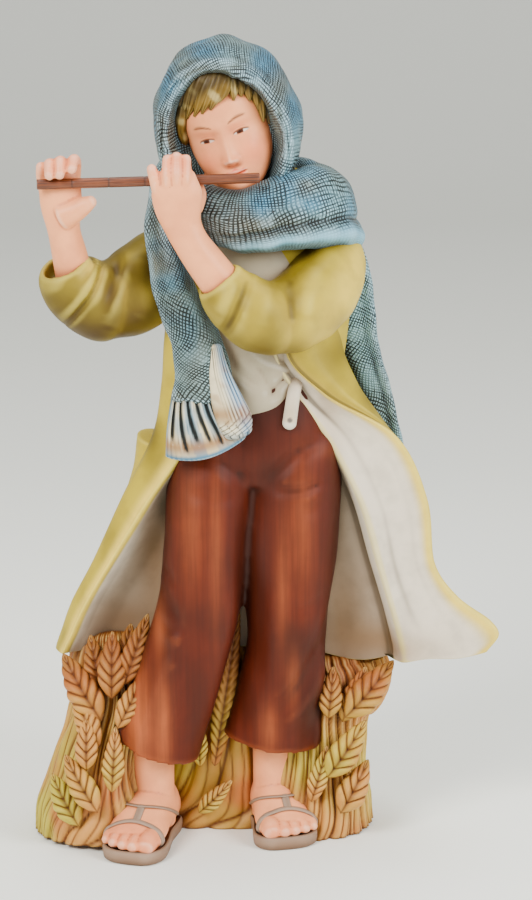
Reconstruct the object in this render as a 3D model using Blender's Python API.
"""A painted bisque porcelain figurine of a young musician playing a wooden flute.

The figure is one casting: hooded scarf, coat, shirt, trousers, sandalled feet and the sheaf
of wheat behind the legs. The flute is a separate thin rod that passes through both hands.
Free forms are written in hundredths of the figure's height, x to the viewer's right, y away
from the viewer and z up, with z = 0 at the underside.
"""

import bmesh
import bpy
import numpy as np

HEIGHT = 0.216
FLUTE_DIAMETER = 0.0026
FLUTE_LENGTH = 0.0562
FLUTE_CLEARANCE = 0.0003
SOLE_THICKNESS = 0.0034
STRAP_WIDTH = 0.0022
STRAP_RISE = 0.0005
COAT_EDGE = 0.0026
CUFF_WALL = 0.0016
BELOW_GROUND = 0.004
SKIN_GRAIN = 0.0006
FACE_SHARE = 0.0175

SHARE = HEIGHT / 100
FLUTE_MIDDLE = np.array([-13.75, -11.4, 84.4]) * SHARE
FLUTE_END = np.array([-0.8, -10.6, 84.65]) * SHARE
FLUTE_AXIS = (FLUTE_END - FLUTE_MIDDLE) / np.linalg.norm(FLUTE_END - FLUTE_MIDDLE)

COLOURS = {
    "porcelain": ((0.50, 0.47, 0.33, 1), 0.55, 0.0),
    "wood": ((0.27, 0.11, 0.05, 1), 0.60, 0.0),
}


def unit(vector):
    """The vector at length one."""
    vector = np.asarray(vector, float)
    return vector / np.linalg.norm(vector)


def slopes_through(rows):
    """The slope at each row, held short beside a short step so that the curve never loops."""
    steps = np.linalg.norm(np.diff(rows, axis=0), axis=1)
    shorter = np.minimum(np.append(steps, steps[-1]), np.insert(steps, 0, steps[0]))
    slopes = np.gradient(rows, axis=0)
    sizes = np.linalg.norm(slopes, axis=1) + 1e-9
    return slopes * np.minimum(1, 1.15 * shorter / sizes)[:, None]


def smooth(rows, count):
    """Rows on a smooth curve through the given rows, evenly spread in row number."""
    rows = np.asarray(rows, float)
    slopes = slopes_through(rows)
    place = np.linspace(0, len(rows) - 1, count)
    before = np.minimum(place.astype(int), len(rows) - 2)
    part = (place - before)[:, None]
    rise = part * part * (3 - 2 * part)
    leave = part * (1 - part) ** 2
    arrive = part * part * (part - 1)
    return (
        rows[before] * (1 - rise)
        + rows[before + 1] * rise
        + slopes[before] * leave
        + slopes[before + 1] * arrive
    )


def smooth_loop(rows, count):
    """Rows on a smooth closed curve through the given rows."""
    rows = np.asarray(rows, float)
    around = np.concatenate([rows[-3:], rows, rows[:3]])
    steps = 24
    fine = smooth(around, (len(around) - 1) * steps + 1)
    place = 3 * steps + np.arange(count) * len(rows) * steps / count
    return fine[np.round(place).astype(int)]


def turn(points, pitch=0.0, roll=0.0, yaw=0.0):
    """Points turned about x by pitch, then about y by roll, then about z by yaw, in degrees."""
    for axis, degrees in ((0, pitch), (1, roll), (2, yaw)):
        angle = np.radians(degrees)
        matrix = np.eye(3)
        first, second = (axis + 1) % 3, (axis + 2) % 3
        matrix[first, first] = matrix[second, second] = np.cos(angle)
        matrix[first, second] = -np.sin(angle)
        matrix[second, first] = np.sin(angle)
        points = points @ matrix.T
    return points


def form(rings):
    """A closed shell from rings of points, each end closed by a fan to the ring's centre."""
    rings = np.asarray(rings, float)
    count, sides = rings.shape[:2]
    ends = [rings[0].mean(0), rings[-1].mean(0)]
    points = np.concatenate([rings.reshape(-1, 3), ends]) * SHARE
    faces = []
    for k in range(count - 1):
        for s in range(sides):
            a, b = k * sides + s, k * sides + (s + 1) % sides
            faces.append((a, b, b + sides, a + sides))
    first, last = count * sides, count * sides + 1
    for s in range(sides):
        faces.append((first, (s + 1) % sides, s))
        top = (count - 1) * sides
        faces.append((last, top + s, top + (s + 1) % sides))
    return shell(points, faces)


def band_form(rings):
    """A closed shell of rings whose second half runs back beside the first, capped in strips."""
    rings = np.asarray(rings, float)
    count, sides = rings.shape[:2]
    half = sides // 2 - 3
    faces = []
    for k in range(count - 1):
        for s in range(sides):
            a, b = k * sides + s, k * sides + (s + 1) % sides
            faces.append((a, b, b + sides, a + sides))
    for start in (0, (count - 1) * sides):
        pairs = [(s, s + 1, sides - 4 - s, sides - 3 - s) for s in range(half)]
        pairs += [tuple(range(half, half + 4)), (sides - 3, sides - 2, sides - 1, 0)]
        faces.extend(tuple(start + k for k in pair) for pair in pairs)
    return shell(rings.reshape(-1, 3) * SHARE, faces)


def shell(points, faces):
    """A closed shell whose faces point outwards, as its points and its faces."""
    mesh = bmesh.new()
    corners = [mesh.verts.new(point) for point in points]
    for face in faces:
        mesh.faces.new([corners[k] for k in face])
    bmesh.ops.recalc_face_normals(mesh, faces=mesh.faces[:])
    mesh.verts.index_update()
    turned = [tuple(corner.index for corner in face.verts) for face in mesh.faces]
    mesh.free()
    return np.asarray(points, float), turned


def body(name, shells):
    """One object made of the given shells, which may overlap."""
    points, faces, start = [], [], 0
    for some_points, some_faces in shells:
        points.extend(some_points)
        faces.extend(tuple(k + start for k in face) for face in some_faces)
        start += len(some_points)
    mesh = bpy.data.meshes.new(name)
    mesh.from_pydata([tuple(point) for point in points], [], faces)
    made = bpy.data.objects.new(name, mesh)
    bpy.context.scene.collection.objects.link(made)
    return made


def cut_away(target, cutter):
    """Cuts the cutter's form out of the target."""
    cutter.hide_render = True
    cutter.display_type = "WIRE"
    step = target.modifiers.new(cutter.name, "BOOLEAN")
    step.operation = "DIFFERENCE"
    step.solver = "EXACT"
    step.object = cutter


def keep_largest(made):
    """Bakes the steps so far and drops the loose grains left beside the one large body."""
    skin = bmesh.new()
    skin.from_object(made, bpy.context.evaluated_depsgraph_get())
    made.modifiers.clear()
    unvisited = set(skin.verts)
    largest = []
    while unvisited:
        found = [unvisited.pop()]
        for corner in found:
            for edge in corner.link_edges:
                other = edge.other_vert(corner)
                if other in unvisited:
                    unvisited.remove(other)
                    found.append(other)
        if len(found) > len(largest):
            largest = found
    kept = set(largest)
    loose = [corner for corner in skin.verts if corner not in kept]
    bmesh.ops.delete(skin, geom=loose, context="VERTS")
    skin.to_mesh(made.data)
    skin.free()


def limb_rings(rows, rings, sides, across=(1, 0, 0), relief=None):
    """Ellipses square to a smooth centre line: rows of x, y, z, half width and half depth."""
    row = smooth(rows, rings)
    centre, half_width, half_depth = row[:, :3], row[:, 3:4], row[:, 4:5]
    along = np.gradient(centre, axis=0)
    along /= np.linalg.norm(along, axis=1)[:, None]
    side = np.asarray(across, float) - (along @ np.asarray(across, float))[:, None] * along
    side /= np.linalg.norm(side, axis=1)[:, None]
    back = np.cross(along, side)
    angle = np.arange(sides) * 2 * np.pi / sides
    width = (half_width * np.cos(angle))[:, :, None]
    depth = (half_depth * np.sin(angle))[:, :, None]
    swell = 1.0
    if relief is not None:
        swell = 1 + relief(np.linspace(0, 1, rings)[:, None], angle[None, :])[:, :, None]
    return centre[:, None] + (side[:, None] * width + back[:, None] * depth) * swell


def round_ends(rings, start=True, end=True):
    """The same rings with a smaller one before the first and after the last, as a soft end."""
    made = list(rings)
    if start:
        centre = rings[0].mean(0)
        step = (rings[0].mean(0) - rings[1].mean(0)) * 0.35
        made.insert(0, centre + (rings[0] - centre) * 0.55 + step)
    if end:
        centre = rings[-1].mean(0)
        step = (rings[-1].mean(0) - rings[-2].mean(0)) * 0.35
        made.append(centre + (rings[-1] - centre) * 0.55 + step)
    return np.array(made)


def cupped_end(rings, wall, depth):
    """The same rings with a lip at the last one that turns in and goes back inside by depth."""
    centre = rings[-1].mean(0)
    reach = np.linalg.norm(rings[-1] - centre, axis=1).mean()
    inner = centre + (rings[-1] - centre) * (1 - wall / reach)
    back = unit(rings[-2].mean(0) - centre) * depth
    return np.concatenate([rings, inner[None], inner[None] + back])


def limb(rows, rings, sides, **kind):
    """A soft-ended limb."""
    return form(round_ends(limb_rings(rows, rings, sides, **kind)))


def hoop(rows, around, sides):
    """A closed band: rows of x, y, z, half height, half thickness and outward lean in degrees."""
    row = smooth_loop(rows, around)
    centre = row[:, :3]
    middle = centre.mean(0)
    outward = (centre - middle) * (1, 1, 0)
    outward /= np.linalg.norm(outward, axis=1)[:, None]
    lean = np.radians(row[:, 5:6])
    tall = np.array([0, 0, 1]) * np.cos(lean) - outward * np.sin(lean)
    thick = outward * np.cos(lean) + np.array([0, 0, 1]) * np.sin(lean)
    angle = np.arange(sides) * 2 * np.pi / sides
    high = (row[:, 3:4] * np.sin(angle))[:, :, None] * tall[:, None]
    wide = (row[:, 4:5] * np.cos(angle))[:, :, None] * thick[:, None]
    rings = centre[:, None] + high + wide
    faces = []
    for k in range(around):
        for s in range(sides):
            a, b = k * sides + s, k * sides + (s + 1) % sides
            c = ((k + 1) % around) * sides
            faces.append((a, b, c + (s + 1) % sides, c + s))
    return shell(rings.reshape(-1, 3) * SHARE, faces)


# The wheat sheaf: three clumps of stalks that flare at the foot and again under the ears


def sheaf_clumps():
    """Clumps of stalks, fluted all round, standing on the ground plane."""
    below = -BELOW_GROUND / SHARE
    left = [
        (-20.6, 3.0, below, 8.3, 10.7),
        (-20.3, 3.0, 3, 8.2, 10.2),
        (-19.4, 3.4, 10, 6.6, 8.8),
        (-18.6, 4.0, 17, 5.2, 7.6),
        (-18.8, 4.6, 22, 5.8, 7.4),
        (-18.8, 5.0, 26, 4.6, 6.2),
    ]
    middle = [
        (-4.5, 8.3, below, 13.5, 7.6),
        (-4.5, 8.3, 4, 13.0, 7.3),
        (-4.8, 8.4, 14, 12.0, 6.8),
        (-4.8, 8.4, 27, 10.4, 6.0),
    ]
    right = [
        (6.3, 5.0, below, 7.2, 8.5),
        (6.2, 5.0, 3, 7.0, 8.2),
        (5.9, 5.4, 10, 6.6, 7.3),
        (6.2, 5.9, 15, 6.8, 7.0),
        (7.6, 6.4, 19.6, 8.0, 6.4),
        (7.6, 6.6, 24, 6.8, 5.4),
    ]

    def fluted(along, angle):
        return 0.028 * np.cos(angle * 13 + along * 2.2)

    return [
        form(limb_rings(left, 7, 26, relief=fluted)),
        form(limb_rings(middle, 5, 26, relief=fluted)),
        form(limb_rings(right, 7, 26, relief=fluted)),
    ]


# An ear of wheat is a row of paired grains; each row swells and pinches like a chevron

EAR_GRAINS = 5
EARS = [
    # tip x, y, z then stem end x, y, z, then half width
    (-18.7, -3.4, 27.4, -18.4, -5.0, 19.4, 1.75),
    (-14.0, -3.0, 30.0, -17.0, -4.8, 22.5, 1.45),
    (-14.8, -4.8, 22.9, -17.9, -5.8, 17.0, 1.40),
    (-24.9, -1.6, 24.0, -20.0, -5.2, 16.6, 2.15),
    (-22.9, -4.6, 18.2, -20.9, -7.6, 9.6, 1.55),
    (-17.6, -5.8, 17.6, -18.2, -7.8, 8.2, 1.55),
    (-25.4, -5.2, 12.6, -20.4, -8.3, 8.6, 1.75),
    (-26.5, -4.6, 9.6, -22.8, -7.2, 4.2, 1.85),
    (-3.2, 0.2, 29.6, -4.6, 0.6, 17.8, 1.90),
    (-4.4, 0.6, 19.0, -6.0, 0.6, 8.0, 1.80),
    (8.3, -1.0, 22.6, 7.5, -1.8, 15.4, 1.55),
    (16.0, 0.6, 22.4, 9.7, -2.0, 16.0, 2.25),
    (12.3, -1.4, 15.0, 7.4, -3.0, 8.0, 1.95),
    (12.6, -1.4, 10.6, 9.2, -3.4, 3.6, 1.90),
]
BACK_EARS = [
    (-22.6, 9.0, 21.5, -21.0, 9.6, 13.0, 1.9),
    (-15.6, 13.4, 20.8, -14.2, 14.0, 11.4, 1.9),
    (-6.6, 15.2, 21.4, -6.2, 14.8, 11.8, 1.9),
    (3.0, 14.6, 20.8, 2.2, 14.4, 11.0, 1.9),
    (11.4, 11.2, 21.4, 9.4, 11.2, 12.2, 1.9),
]


def ear(tip_x, tip_y, tip_z, stem_x, stem_y, stem_z, half_width):
    """A spindle that swells at each pair of grains and is pinched between them."""
    tip, stem = np.array([tip_x, tip_y, tip_z]), np.array([stem_x, stem_y, stem_z])
    rows = []
    for step in range(2 * EAR_GRAINS + 1):
        share = step / (2 * EAR_GRAINS)
        swell = np.sin(np.pi * (0.10 + 0.80 * share)) ** 0.6
        grain = 1.0 if step % 2 else 0.78
        size = half_width * swell * grain
        rows.append((*(stem + (tip - stem) * share), size, size * 0.8))
    across = unit(np.cross(tip - stem, (0, 1, 0)))
    return form(limb_rings(rows, len(rows), 6, across=across))


def wheat_ears():
    """All the ears, those in front and the plainer row at the back."""
    places = EARS + BACK_EARS
    return [ear(*place) for place in places]


# The coat hangs open from the shoulders and its front on the right is blown outwards

COAT_LEVELS = [
    # z, left edge x y, left side x, back y, right edge x y z, ridge x y, lining y
    (76.0, -7.5, -4.0, -10.8, 8.0, 7.0, -4.0, 76.0, 4.0, -4.0, -3.0),
    (64.0, -8.9, -6.5, -12.2, 10.2, 2.4, -7.2, 64.0, 1.0, -6.6, -4.8),
    (58.0, -8.9, -6.8, -12.6, 11.4, 7.0, -7.3, 57.9, 3.4, -6.4, -3.6),
    (51.5, -10.0, -6.8, -13.8, 12.6, 15.6, -4.0, 51.8, 7.8, -5.0, -2.4),
    (43.7, -14.9, -5.8, -17.6, 13.6, 19.4, -2.8, 43.7, 11.6, -4.6, -0.6),
    (35.5, -19.5, -4.0, -21.2, 14.4, 20.4, -2.8, 35.6, 13.9, -4.6, 0.6),
    (30.0, -22.5, -2.6, -23.9, 14.8, 23.2, -3.2, 31.3, 15.4, -4.2, 1.2),
    (23.6, -25.2, -1.0, -26.0, 15.0, 28.2, -4.6, 28.8, 17.0, -3.4, 1.6),
]


def coat_section(level):
    """The closed section of the coat at one level: outside round the back, then the lining."""
    z, left_x, left_y, side_x, back_y, right_x, right_y, right_z, ridge_x, ridge_y, deep_y = level
    edge = COAT_EDGE / SHARE
    flank = 0.45 * right_x + 8.6
    middle_x = (left_x + ridge_x) / 2
    rise = right_z - z

    def lifted(share):
        return z + rise * share**5

    return [
        (left_x, left_y, z),
        (side_x, left_y + 3.4, z),
        (side_x * 0.88, back_y * 0.55, z),
        (side_x * 0.55, back_y * 0.92, z),
        (middle_x * 0.4, back_y, z),
        (flank * 0.48, back_y * 0.93, z),
        (flank * 0.80, back_y * 0.62, z),
        (flank * 0.94, right_y + 6.0, lifted(0.35)),
        (flank + (right_x - flank) * 0.5, right_y + 1.9 * edge, lifted(0.75)),
        (right_x, right_y + edge, right_z),
        (right_x, right_y, right_z),
        (ridge_x + (right_x - ridge_x) * 0.66, right_y * 0.75 + ridge_y * 0.15, lifted(0.72)),
        (ridge_x + (right_x - ridge_x) * 0.30, right_y * 0.35 + ridge_y * 0.50, lifted(0.3)),
        (ridge_x, ridge_y, z),
        (ridge_x - 1.1, ridge_y * 0.55 + deep_y * 0.45, z),
        (ridge_x - 1.8, deep_y, z),
        (middle_x, deep_y + 0.6, z),
        (left_x + 5.4, deep_y, z),
        (left_x + 2.2, (deep_y + left_y) * 0.5, z),
        (left_x + edge * 0.75, left_y + edge * 0.4, z),
    ]


def coat():
    """The coat's levels joined by smooth lines down the cloth."""
    net = np.array([coat_section(level) for level in COAT_LEVELS])
    lines = smooth(net.reshape(len(net), -1), 15).reshape(15, -1, 3)
    rings = np.array([smooth_loop(ring, 60) for ring in lines])
    from_middle = (rings - rings.mean(1)[:, None]) * (1, 1, 0)
    angle = np.arctan2(from_middle[:, :, 1], from_middle[:, :, 0])
    deeper = np.linspace(0, 1, len(rings))[:, None]
    behind = np.clip((rings[:, :, 1] - 3.0) / 4, 0, 1)
    fold = 0.85 * np.cos(angle * 11 + deeper * 1.6) * np.sqrt(deeper) * behind
    outward = from_middle / np.linalg.norm(from_middle, axis=2)[:, :, None]
    return band_form(rings + outward * fold[:, :, None])


def coat_folds():
    """A fold that stands out at the hip and the rounded yoke over the shoulders."""
    hip = [(-12.6, 2.0, 53.5, 1.6, 2.4), (-14.0, 2.6, 50.0, 2.3, 3.0), (-17.4, 3.4, 41.0, 1.4, 2.6)]
    yoke = [
        (-0.6, 0.6, 60, 10.0, 6.6),
        (-0.6, 0.6, 67, 10.8, 7.0),
        (-0.7, 0.6, 73, 10.9, 6.8),
        (-1.2, 0.4, 78, 8.4, 5.8),
        (-2.4, 0.0, 82, 4.6, 4.4),
    ]
    return [limb(hip, 5, 8), limb(yoke, 7, 20)]


# Shirt, sash end and trousers


def trousers():
    """Two loose legs with shallow folds and a pelvis that joins them."""
    left = [
        (-5.6, -2.5, 52.0, 5.6, 5.2),
        (-6.8, -3.6, 45.0, 5.4, 5.4),
        (-7.4, -4.3, 38.0, 5.1, 5.2),
        (-8.0, -4.8, 31.5, 5.1, 5.0),
        (-9.7, -4.7, 25.0, 5.1, 4.9),
        (-11.4, -4.2, 19.5, 5.2, 4.9),
        (-13.5, -3.4, 12.9, 5.4, 5.4),
    ]
    right = [
        (3.4, -1.8, 52.0, 5.6, 5.2),
        (3.3, -2.6, 45.0, 5.8, 5.4),
        (3.0, -2.8, 38.0, 5.8, 5.2),
        (2.7, -2.6, 31.0, 5.2, 4.9),
        (2.5, -1.8, 25.0, 4.9, 4.7),
        (1.7, -0.6, 19.0, 5.3, 4.8),
        (0.8, 0.4, 12.9, 6.2, 5.2),
    ]
    pelvis = [
        (-0.6, -1.8, 60.0, 6.6, 4.8),
        (-0.4, -2.0, 56.0, 7.9, 5.3),
        (-1.2, -2.4, 50.5, 9.6, 5.7),
        (-1.9, -2.6, 46.5, 8.6, 4.6),
    ]

    def creased(along, angle):
        return 0.030 * np.cos(angle * 5 + along * 5) * along

    hem_depth = 2.4
    left_rings = cupped_end(limb_rings(left, 10, 20, relief=creased), 0.7, hem_depth)
    right_rings = cupped_end(limb_rings(right, 10, 20, relief=creased), 0.7, hem_depth)
    return [
        form(left_rings),
        form(right_rings),
        limb(pelvis, 6, 20),
    ]


def shirt():
    """The shirt front that blouses over the waist, and the end of the tie below it."""
    front = [
        (-1.6, -2.2, 55.6, 6.2, 4.8),
        (-1.8, -2.5, 57.4, 6.8, 5.3),
        (-1.8, -2.3, 62.0, 7.0, 5.3),
        (-1.4, -1.8, 70.0, 7.4, 5.6),
        (-2.6, -1.6, 78.0, 5.0, 5.4),
    ]
    tie = [
        (3.2, -5.4, 61.0, 0.9, 0.8),
        (2.9, -6.9, 58.4, 1.0, 0.9),
        (2.7, -7.5, 54.8, 0.9, 0.7),
    ]
    return [limb(front, 7, 20), limb(tie, 5, 8)]


# Feet and sandals, written in each foot's own frame: along the foot, across it and up

FOOT_LEFT = {"ankle": (-13.7, -0.6), "toward": (-0.30, -0.95), "share": 1.0}
FOOT_RIGHT = {"ankle": (1.3, 3.9), "toward": (0.20, -0.98), "share": 0.93}
FOOT_ROWS = [
    # along, up, half width, half height
    (-2.8, 3.0, 2.3, 2.4),
    (0.0, 4.0, 2.9, 3.6),
    (3.0, 3.7, 3.1, 3.2),
    (6.0, 3.0, 3.5, 2.3),
    (8.6, 2.4, 3.6, 1.6),
]
TOES = [(-2.9, 9.2, 0.62), (-1.7, 9.9, 0.66), (-0.5, 10.3, 0.72), (0.7, 10.5, 0.78), (2.3, 10.5, 1.15)]


def foot(place, inner):
    """Ankle, instep and toes on a thick sole; inner is +1 where the big toe is on the right."""
    toward = np.array([*unit(place["toward"]), 0.0])
    across = np.array([-toward[1], toward[0], 0.0])
    ankle_foot = np.array([*place["ankle"], 0.0])
    sole = SOLE_THICKNESS / SHARE

    def world(along, side, up):
        return ankle_foot + toward * along * place["share"] + across * side + np.array([0, 0, up])

    rows = [(*world(along, 0, up), wide, high) for along, up, wide, high in FOOT_ROWS]
    made = [limb(rows, 6, 12, across=across)]
    ankle = [
        (*world(-0.4, 0, 2.0), 2.5, 2.8),
        (*world(-0.2, 0, 6.5), 2.5, 2.6),
        (*world(0.0, 0, 14.5), 2.7, 2.7),
    ]
    made.append(limb(ankle, 4, 12))
    for side, along, size in TOES:
        rows = [
            (*world(along - 3.0, side * inner, 2.3), size, size),
            (*world(along - 1.0, side * inner, 2.2), size * 1.05, size),
            (*world(along, side * inner, sole + 0.35), size * 0.8, size * 0.7),
        ]
        made.append(limb(rows, 4, 6, across=across))
    outline = [
        (-3.6, 0.0, 2.2),
        (-1.5, 0.0, 3.1),
        (2.5, 0.1, 3.2),
        (6.0, 0.2, 3.9),
        (9.0, 0.3, 4.4),
        (11.0, 0.5, 3.2),
        (12.0, 0.7, 1.2),
    ]
    edge = [(along, inner * shift + half) for along, shift, half in outline]
    edge += [(along, inner * shift - half) for along, shift, half in reversed(outline)]
    ring = smooth_loop(edge, 26)
    floor = -BELOW_GROUND / SHARE
    rings = [[world(a, s, z) for a, s in ring] for z in (floor, sole * 0.85)]
    rings.append([world(4 + (a - 4) * 0.95, s * 0.93, sole) for a, s in ring])
    made.append(form(rings))
    return made + sandal_straps(world, sole)


def sandal_straps(world, sole):
    """A strap over the toes, one round the ankle and the bar that joins them."""
    rise = STRAP_RISE / SHARE
    half = STRAP_WIDTH / SHARE / 2
    made = []
    for along, lean, wide, high in ((7.0, 0.1, 3.55, 4.85), (1.6, 0.9, 3.05, 7.1)):
        rings = []
        for angle in np.radians(np.linspace(-12, 192, 12)):
            side, up = np.cos(angle), np.sin(angle)
            middle = world(along - lean * (up - 0.5), side * (wide + rise * 0.2), sole + (high - sole) * up)
            out = world(0, side, up * 1.1) - world(0, 0, 0)
            toe = world(1, 0, 0) - world(0, 0, 0)
            corners = [(-half, -rise), (half, -rise), (half, rise), (-half, rise)]
            rings.append([middle + toe * a + out * b for a, b in corners])
        made.append(form(rings))
    rows = []
    for along, up in ((1.4, 6.6), (3.2, 6.5), (5.2, 5.3), (7.0, 4.6)):
        rows.append((*world(along, 0, up + rise * 0.5), half * 0.9, rise * 1.3))
    made.append(limb(rows, 5, 6, across=world(0, 1, 0) - world(0, 0, 0)))
    return made


# Scarf: the hood over the head, the wrap round the neck and the two hanging ends

HEAD_CENTRE = np.array([-4.5, -0.7, 89.0])
HEAD_TURN = {"pitch": 10.0, "roll": -19.0, "yaw": -9.0}
HOOD_TURN = {"pitch": 8.0, "roll": -9.0, "yaw": -4.0}


def on_head(points):
    """Points of the head's own frame placed on the figure."""
    return turn(np.asarray(points, float), **HEAD_TURN) + HEAD_CENTRE


def hood():
    """A cloth cap whose rim rolls forward round the face; rings run from the face to the back."""
    rows = [
        # y, z shift, half width, half height
        (-1.0, 0.0, 1.0, 1.0),
        (-3.6, 0.0, 5.3, 7.3),
        (-5.8, 0.2, 6.2, 8.2),
        (-7.0, 0.4, 6.8, 8.9),
        (-6.7, 0.5, 7.9, 9.9),
        (-5.0, 0.5, 8.3, 10.1),
        (-3.2, 0.5, 8.6, 10.5),
        (0.0, 0.4, 8.8, 10.6),
        (4.0, 0.2, 8.2, 10.0),
        (7.0, -0.4, 6.2, 7.9),
        (9.0, -1.0, 3.2, 4.2),
    ]
    angle = np.arange(22) * 2 * np.pi / 22
    rings = []
    for y, shift, wide, high in rows:
        rings.append(
            [(wide * np.cos(a), y, shift + high * np.sin(a)) for a in angle]
        )
    return form(turn(np.array(rings), **HOOD_TURN) + HEAD_CENTRE)


def head():
    """Skull, cheeks and chin, with the brow, nose and lips raised on the front."""
    rows = [
        # z, y shift, half width, half depth
        (-7.2, -3.6, 1.6, 2.0),
        (-6.4, -2.9, 3.0, 3.6),
        (-4.6, -1.8, 4.3, 5.2),
        (-2.0, -1.0, 5.3, 6.3),
        (0.8, -0.6, 5.8, 6.8),
        (4.0, -0.4, 5.7, 6.5),
        (6.6, 0.0, 4.4, 5.2),
        (8.0, 0.3, 2.2, 2.8),
    ]
    row = smooth(rows, 20)
    spread = np.linspace(-np.pi, np.pi, 28, endpoint=False)
    angle = spread - 0.42 * np.sin(spread)
    x = row[:, 2:3] * np.sin(angle)
    y = row[:, 1:2] - row[:, 3:4] * np.cos(angle)
    z = row[:, 0:1] + 0 * angle
    front = np.exp(-((x / 0.75) ** 2)) * (np.cos(angle) > 0)
    nose = np.where(z > -1.9, np.exp(-((z + 1.9) / 2.2) ** 2), np.exp(-((z + 1.9) / 0.45) ** 2))
    lips = np.exp(-((z + 3.9) / 0.7) ** 2) * np.exp(-((x / 1.5) ** 2)) * (np.cos(angle) > 0)
    y = y - 1.25 * nose * front - 0.35 * lips
    return form(on_head(np.stack([x, y, z], axis=2)))


def hair():
    """Locks that fall from under the rim on to the brow."""
    made = []
    for k, share in enumerate(np.linspace(-1, 1, 9)):
        bend = np.radians(share * 62)
        root = np.array([np.sin(bend) * 5.9, -5.2 + 0.7 * share**2, np.cos(bend) * 7.6])
        fall = 3.4 + 1.6 * abs(share)
        tip = root + np.array([share * 0.6 - 0.3, -0.9 + abs(share) * 0.5, -fall])
        middle = (root + tip) / 2 + np.array([0, -0.7, 0.2])
        path = [root, middle, tip]
        size = [(1.15, 0.9), (1.1, 0.8), (0.45, 0.4)]
        rows = [(*on_head(p), a, b) for p, (a, b) in zip(path, size)]
        made.append(limb(rows, 5, 6))
    return made


def neck_wrap():
    """The scarf's turn round the neck, drawn out and down over the shoulder on the right."""
    rows = [
        # x, y, z, half height, half thickness, lean
        (-8.2, -7.0, 80.4, 3.5, 2.3, 6),
        (-3.4, -8.2, 79.2, 3.9, 2.5, 10),
        (2.4, -7.6, 80.3, 4.6, 2.6, 22),
        (6.8, -4.6, 80.4, 5.4, 2.6, 36),
        (8.3, 0.4, 79.0, 5.8, 2.6, 40),
        (6.8, 5.2, 79.4, 5.2, 2.5, 38),
        (0.6, 8.0, 81.0, 4.6, 2.4, 30),
        (-7.4, 6.4, 82.0, 4.2, 2.3, 20),
        (-11.2, 0.8, 82.2, 4.0, 2.2, 8),
        (-11.2, -4.0, 81.6, 3.8, 2.2, 4),
    ]
    neck = [(-2.0, 0.4, 74, 6.5, 5.2), (-3.0, -0.6, 80, 5.6, 5.4), (-3.8, -1.4, 86, 4.6, 4.6)]
    return [hoop(rows, 24, 12), limb(neck, 4, 12)]


def scarf_ends():
    """The end that hangs in front with its fringe, and the one that falls behind the arm."""
    front = [
        (-11.9, -3.6, 83.0, 1.8, 1.5),
        (-12.2, -6.2, 77.0, 2.0, 1.7),
        (-10.6, -8.0, 70.0, 2.5, 1.7),
        (-8.4, -8.8, 65.0, 2.9, 1.7),
        (-7.5, -9.2, 60.6, 3.4, 1.8),
        (-7.6, -9.3, 58.0, 3.6, 1.7),
    ]
    fringe = [
        (-8.8, -9.6, 59.6, 2.4, 1.2),
        (-8.3, -9.8, 56.4, 3.4, 1.5),
        (-7.5, -9.8, 53.4, 4.4, 1.6),
        (-7.1, -9.6, 51.6, 4.6, 1.1),
    ]
    folded_end = [
        (-5.9, -9.6, 63.4, 0.7, 0.8),
        (-5.4, -10.2, 60.4, 1.3, 1.2),
        (-4.6, -10.5, 57.6, 1.9, 1.3),
        (-3.8, -10.4, 55.4, 2.1, 1.3),
        (-3.4, -10.2, 54.0, 1.7, 1.1),
    ]
    behind = [
        (8.8, 3.0, 77.0, 3.4, 2.0),
        (9.3, 4.2, 69.0, 3.8, 1.8),
        (9.9, 5.0, 62.0, 4.2, 1.7),
        (12.1, 6.4, 54.0, 4.0, 1.6),
        (13.8, 8.0, 47.0, 3.8, 1.4),
    ]

    def corded(along, angle):
        return 0.06 * np.cos(angle * 9) * np.minimum(along * 3, 1)

    hang = unit((1.0, 0.35, 0))
    drop = unit((0.85, -0.55, 0))
    return [
        limb(front, 9, 12, across=hang),
        limb(fringe, 5, 18, relief=corded),
        limb(folded_end, 5, 10, relief=corded),
        limb(behind, 8, 12, across=drop),
    ]


# Arms: loose sleeves with turned-back cuffs, bare forearms and hands


def sleeves():
    """Each sleeve is an upper arm and a cuffed forearm that meet in a fold at the elbow."""
    wall = CUFF_WALL / SHARE
    upper_left = [
        (-8.6, 1.0, 72.6, 5.6, 5.6),
        (-13.0, -1.2, 71.0, 5.4, 5.3),
        (-17.0, -3.6, 69.8, 5.1, 5.0),
        (-20.2, -5.4, 69.4, 4.5, 4.5),
    ]
    cuff_left = [
        (-18.6, -4.4, 68.9, 4.1, 4.1),
        (-20.8, -5.8, 69.6, 4.7, 4.6),
        (-22.2, -7.0, 71.4, 4.6, 4.4),
        (-23.0, -7.8, 73.6, 4.5, 4.2),
    ]
    upper_right = [
        (5.7, 1.2, 74.4, 4.8, 5.0),
        (6.5, -2.6, 72.8, 4.8, 5.2),
        (6.6, -6.4, 70.2, 5.0, 5.0),
        (4.0, -9.4, 68.6, 4.8, 4.7),
        (0.8, -11.0, 68.4, 4.2, 4.2),
    ]
    cuff_right = [
        (2.2, -10.6, 67.4, 3.0, 3.0),
        (0.2, -11.6, 68.4, 4.3, 4.1),
        (-2.4, -12.3, 70.2, 4.4, 4.2),
        (-4.3, -12.7, 72.4, 4.2, 4.1),
    ]

    def creased(along, angle):
        return 0.05 * np.cos(angle * 2 - along * 15) * np.sin(np.pi * along)

    return [
        limb(upper_left, 12, 18, across=(0, 1, 0), relief=creased),
        form(cupped_end(limb_rings(cuff_left, 8, 18, across=(0, 1, 0)), wall, 1.6)),
        limb(upper_right, 14, 18, across=(0, 0, 1), relief=creased),
        form(cupped_end(limb_rings(cuff_right, 8, 18, across=(0, 1, 0)), wall, 1.6)),
    ]


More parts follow.
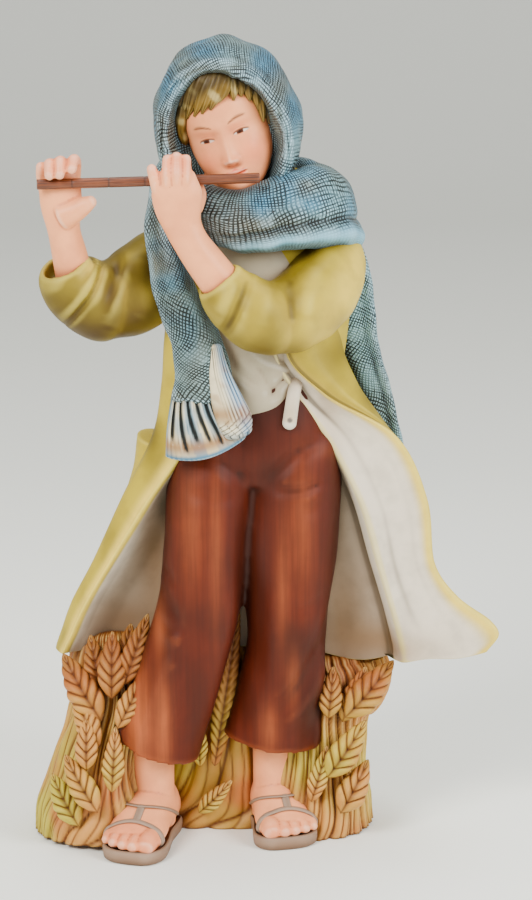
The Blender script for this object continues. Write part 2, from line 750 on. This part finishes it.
FINGER = 0.78
HAND_LEFT_FINGERS = [
    # the far hand's fingers come up behind the flute and curl over it
    [(-25.7, -10.0, 82.4), (-26.2, -10.3, 84.8), (-26.3, -10.8, 86.4)],
    [(-24.9, -10.2, 82.6), (-25.2, -10.6, 86.4), (-25.3, -12.2, 87.0), (-25.3, -13.1, 85.8)],
    [(-23.8, -10.2, 82.6), (-23.9, -10.6, 86.8), (-24.0, -12.3, 87.3), (-24.0, -13.2, 85.9)],
    [(-22.7, -10.0, 82.6), (-22.3, -10.3, 86.7), (-22.5, -11.8, 87.5), (-22.9, -12.9, 86.5)],
]
HAND_RIGHT_FINGERS = [
    # the near hand's fingers stand up in front of the flute, tips bent over it
    [(-11.2, -12.7, 80.8), (-12.3, -13.0, 83.8), (-13.2, -12.7, 86.3)],
    [(-10.8, -12.9, 81.0), (-11.1, -13.3, 84.8), (-11.2, -12.5, 87.4)],
    [(-10.0, -12.9, 81.2), (-10.0, -13.4, 85.2), (-10.0, -12.5, 87.6)],
    [(-9.1, -12.8, 81.2), (-8.9, -13.2, 84.8), (-8.8, -12.4, 87.3)],
]


def finger(path, size):
    """A finger with a rounded tip."""
    widths = np.linspace(size * 1.08, size * 0.9, len(path))
    rows = [(*point, width, width) for point, width in zip(path, widths)]
    return limb(rows, 2 * len(path), 7)


def arms():
    """Forearms, palms and fingers."""
    far_arm = [
        (-22.4, -7.2, 70.4, 2.3, 2.3),
        (-23.2, -8.2, 75.0, 2.1, 2.1),
        (-23.8, -9.1, 78.2, 1.9, 1.8),
        (-23.9, -9.8, 80.8, 2.3, 1.7),
        (-24.0, -10.2, 83.0, 2.6, 1.4),
        (-23.8, -10.3, 84.8, 2.4, 1.1),
    ]
    near_arm = [
        (-2.8, -12.4, 70.6, 2.4, 2.4),
        (-6.4, -12.7, 75.4, 2.3, 2.2),
        (-9.0, -12.9, 78.8, 2.0, 1.8),
        (-9.8, -12.9, 81.2, 2.7, 1.5),
        (-10.3, -12.9, 83.6, 2.9, 1.3),
    ]
    far_thumb = [
        (-23.2, -10.8, 79.6, 1.8, 1.8),
        (-21.8, -11.4, 80.2, 1.5, 1.5),
        (-20.6, -11.7, 80.7, 1.1, 1.1),
        (-20.1, -11.8, 81.0, 0.8, 0.8),
    ]
    near_thumb = [(-8.4, -12.0, 81.4), (-7.9, -10.6, 82.6), (-8.2, -9.8, 83.8)]
    made = [
        limb(far_arm, 10, 12),
        limb(near_arm, 9, 12),
        limb(far_thumb, 5, 8),
        finger(near_thumb, 1.0),
    ]
    for path in HAND_LEFT_FINGERS + HAND_RIGHT_FINGERS:
        made.append(finger(path, FINGER))
    return made


# The flute and the hole it leaves in the hands


def rod(radius, start, end, sides):
    """A round rod along the flute's axis, start and end measured from the flute's middle."""
    across = unit(np.cross(FLUTE_AXIS, (0, 0, 1)))
    up = np.cross(across, FLUTE_AXIS)
    angle = np.arange(sides) * 2 * np.pi / sides
    circle = radius * (np.cos(angle)[:, None] * across + np.sin(angle)[:, None] * up)
    return form([(FLUTE_MIDDLE + FLUTE_AXIS * place + circle) / SHARE for place in (start, end)])


def flute():
    """A plain solid rod."""
    half = FLUTE_LENGTH / 2
    return body("flute", [rod(FLUTE_DIAMETER / 2, -half, half, 24)])


def ground_block():
    """A block below the ground plane that trims the underside flat."""
    low = -3 * BELOW_GROUND
    x, y = np.meshgrid([-HEIGHT, HEIGHT], [-HEIGHT, HEIGHT])
    corners = [(a, b, z) for z in (low, 0.0) for a, b in zip(x.ravel(), y.ravel())]
    faces = [(0, 1, 3, 2), (4, 6, 7, 5), (0, 4, 5, 1), (2, 3, 7, 6), (0, 2, 6, 4), (1, 5, 7, 3)]
    return shell(corners, faces)


def material(name):
    """A plain painted surface with the colour, roughness and metallic value of its name."""
    colour, roughness, metallic = COLOURS[name]
    made = bpy.data.materials.new(name)
    made.use_nodes = True
    shader = made.node_tree.nodes["Principled BSDF"]
    shader.inputs["Base Color"].default_value = colour
    shader.inputs["Roughness"].default_value = roughness
    shader.inputs["Metallic"].default_value = metallic
    return made


def figurine():
    """The casting: all forms fused to one skin, trimmed at the ground and bored for the flute."""
    shells = [
        coat(),
        *coat_folds(),
        *sheaf_clumps(),
        *wheat_ears(),
        *trousers(),
        *shirt(),
        *foot(FOOT_LEFT, 1),
        *foot(FOOT_RIGHT, -1),
        *neck_wrap(),
        *scarf_ends(),
        hood(),
        head(),
        *hair(),
        *sleeves(),
        *arms(),
    ]
    made = body("figurine", shells)
    skin = made.modifiers.new("skin", "REMESH")
    skin.mode = "VOXEL"
    skin.voxel_size = SKIN_GRAIN
    fewer = made.modifiers.new("fewer_faces", "DECIMATE")
    fewer.ratio = FACE_SHARE
    keep_largest(made)
    cut_away(made, body("ground_block", [ground_block()]))
    reach = FLUTE_LENGTH / 2 + FLUTE_CLEARANCE
    seat = rod(FLUTE_DIAMETER / 2 + FLUTE_CLEARANCE, -reach, reach, 16)
    cut_away(made, body("flute_seat", [seat]))
    return made


def main():
    for old in list(bpy.data.objects):
        bpy.data.objects.remove(old)
    for made, paint in ((figurine(), "porcelain"), (flute(), "wood")):
        made.data.materials.append(material(paint))


main()
